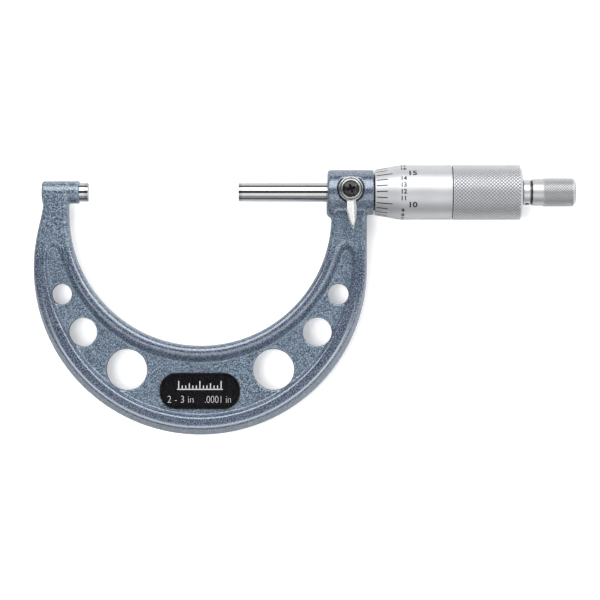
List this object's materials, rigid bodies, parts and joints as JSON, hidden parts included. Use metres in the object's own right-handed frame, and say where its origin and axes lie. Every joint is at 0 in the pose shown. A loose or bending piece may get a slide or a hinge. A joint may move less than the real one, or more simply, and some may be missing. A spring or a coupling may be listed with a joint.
{
  "type": "outside micrometer",
  "caption": "Outside micrometer: U frame with drilled web, anvil, screw-driven spindle, graduated thimble, ratchet stop and lever clamp.",
  "frame": {"origin": "centre of the anvil's measuring face", "axes": "+X along the spindle axis, away from the anvil; +Y out of the frame's mouth; +Z out of the frame's front face, upward when it lies on its back"},
  "size_m": [0.1848, 0.0919, 0.0192],
  "materials": {
    "frame_enamel": "hammertone enamel",
    "ground_steel": "ground and lapped",
    "carbide": "lapped hard metal",
    "plate_black": "gloss black with white marks",
    "sleeve_steel": "turned steel",
    "nut_steel": "turned steel",
    "satin_sleeve": "satin chrome with black marks",
    "satin_thimble": "satin chrome with black marks",
    "ratchet_chrome": "satin chrome",
    "knob_chrome": "satin chrome, knurled",
    "hardened_steel": "hardened, oiled",
    "spring_steel": "drawn wire",
    "screw_black": "black oxide",
    "lever_chrome": "polished",
    "pad_brass": "turned brass"
  },
  "bodies": {
    "frame": {"frame": "frame_enamel", "anvil": "ground_steel", "anvil_tip": "carbide", "name_plate": "plate_black", "inner_sleeve": "sleeve_steel", "adjusting_nut": "nut_steel", "outer_sleeve": "satin_sleeve", "clamp_washer": "spring_steel"},
    "spindle_slide": {"spindle_tip": "carbide"},
    "thimble_group": {"spindle": "ground_steel", "thimble": "satin_thimble", "ratchet_base": "ratchet_chrome", "ratchet_screw": "screw_black"},
    "knob_group": {"ratchet_knob": "knob_chrome", "ratchet_spring": "spring_steel"},
    "pawl_group": {"ratchet_pawl": "hardened_steel"},
    "clamp_slide": {"clamp_pad": "pad_brass"},
    "clamp_group": {"clamp_lever": "lever_chrome", "clamp_stud": "hardened_steel", "clamp_screw": "screw_black"}
  },
  "joints": [
    {"name": "spindle_advance", "type": "slide", "parent": "frame", "child": "spindle_slide", "axis": [1, 0, 0], "range_m": [-0.0003, 0.0251]},
    {"name": "thimble_turn", "type": "hinge", "parent": "spindle_slide", "child": "thimble_group", "pos_m": [0.12, 0, 0], "axis": [1, 0, 0], "range_deg": [-172.81, 14227.3]},
    {"name": "ratchet_turn", "type": "hinge", "parent": "thimble_group", "child": "knob_group", "pos_m": [0.158, 0, 0], "axis": [1, 0, 0], "continuous": true},
    {"name": "pawl_click", "type": "slide", "parent": "knob_group", "child": "pawl_group", "axis": [1, 0, 0], "range_m": [0, 0.00035], "stiffness_N_per_m": 1500, "springref_m": -0.001, "deforming": ["ratchet_spring"]},
    {"name": "clamp_travel", "type": "slide", "parent": "frame", "child": "clamp_slide", "axis": [0, 0, 1], "range_m": [-0.00008333, 0.00001388]},
    {"name": "clamp_turn", "type": "hinge", "parent": "clamp_slide", "child": "clamp_group", "pos_m": [0.0893, 0.0009, 0.0076], "axis": [0, 0, 1], "range_deg": [-60.01, 10.01]}
  ],
  "couplings": [
    {"joint": "thimble_turn", "follows": "spindle_advance", "rad_per_m": 9894.8},
    {"joint": "clamp_turn", "follows": "clamp_travel", "rad_per_m": 12566}
  ]
}
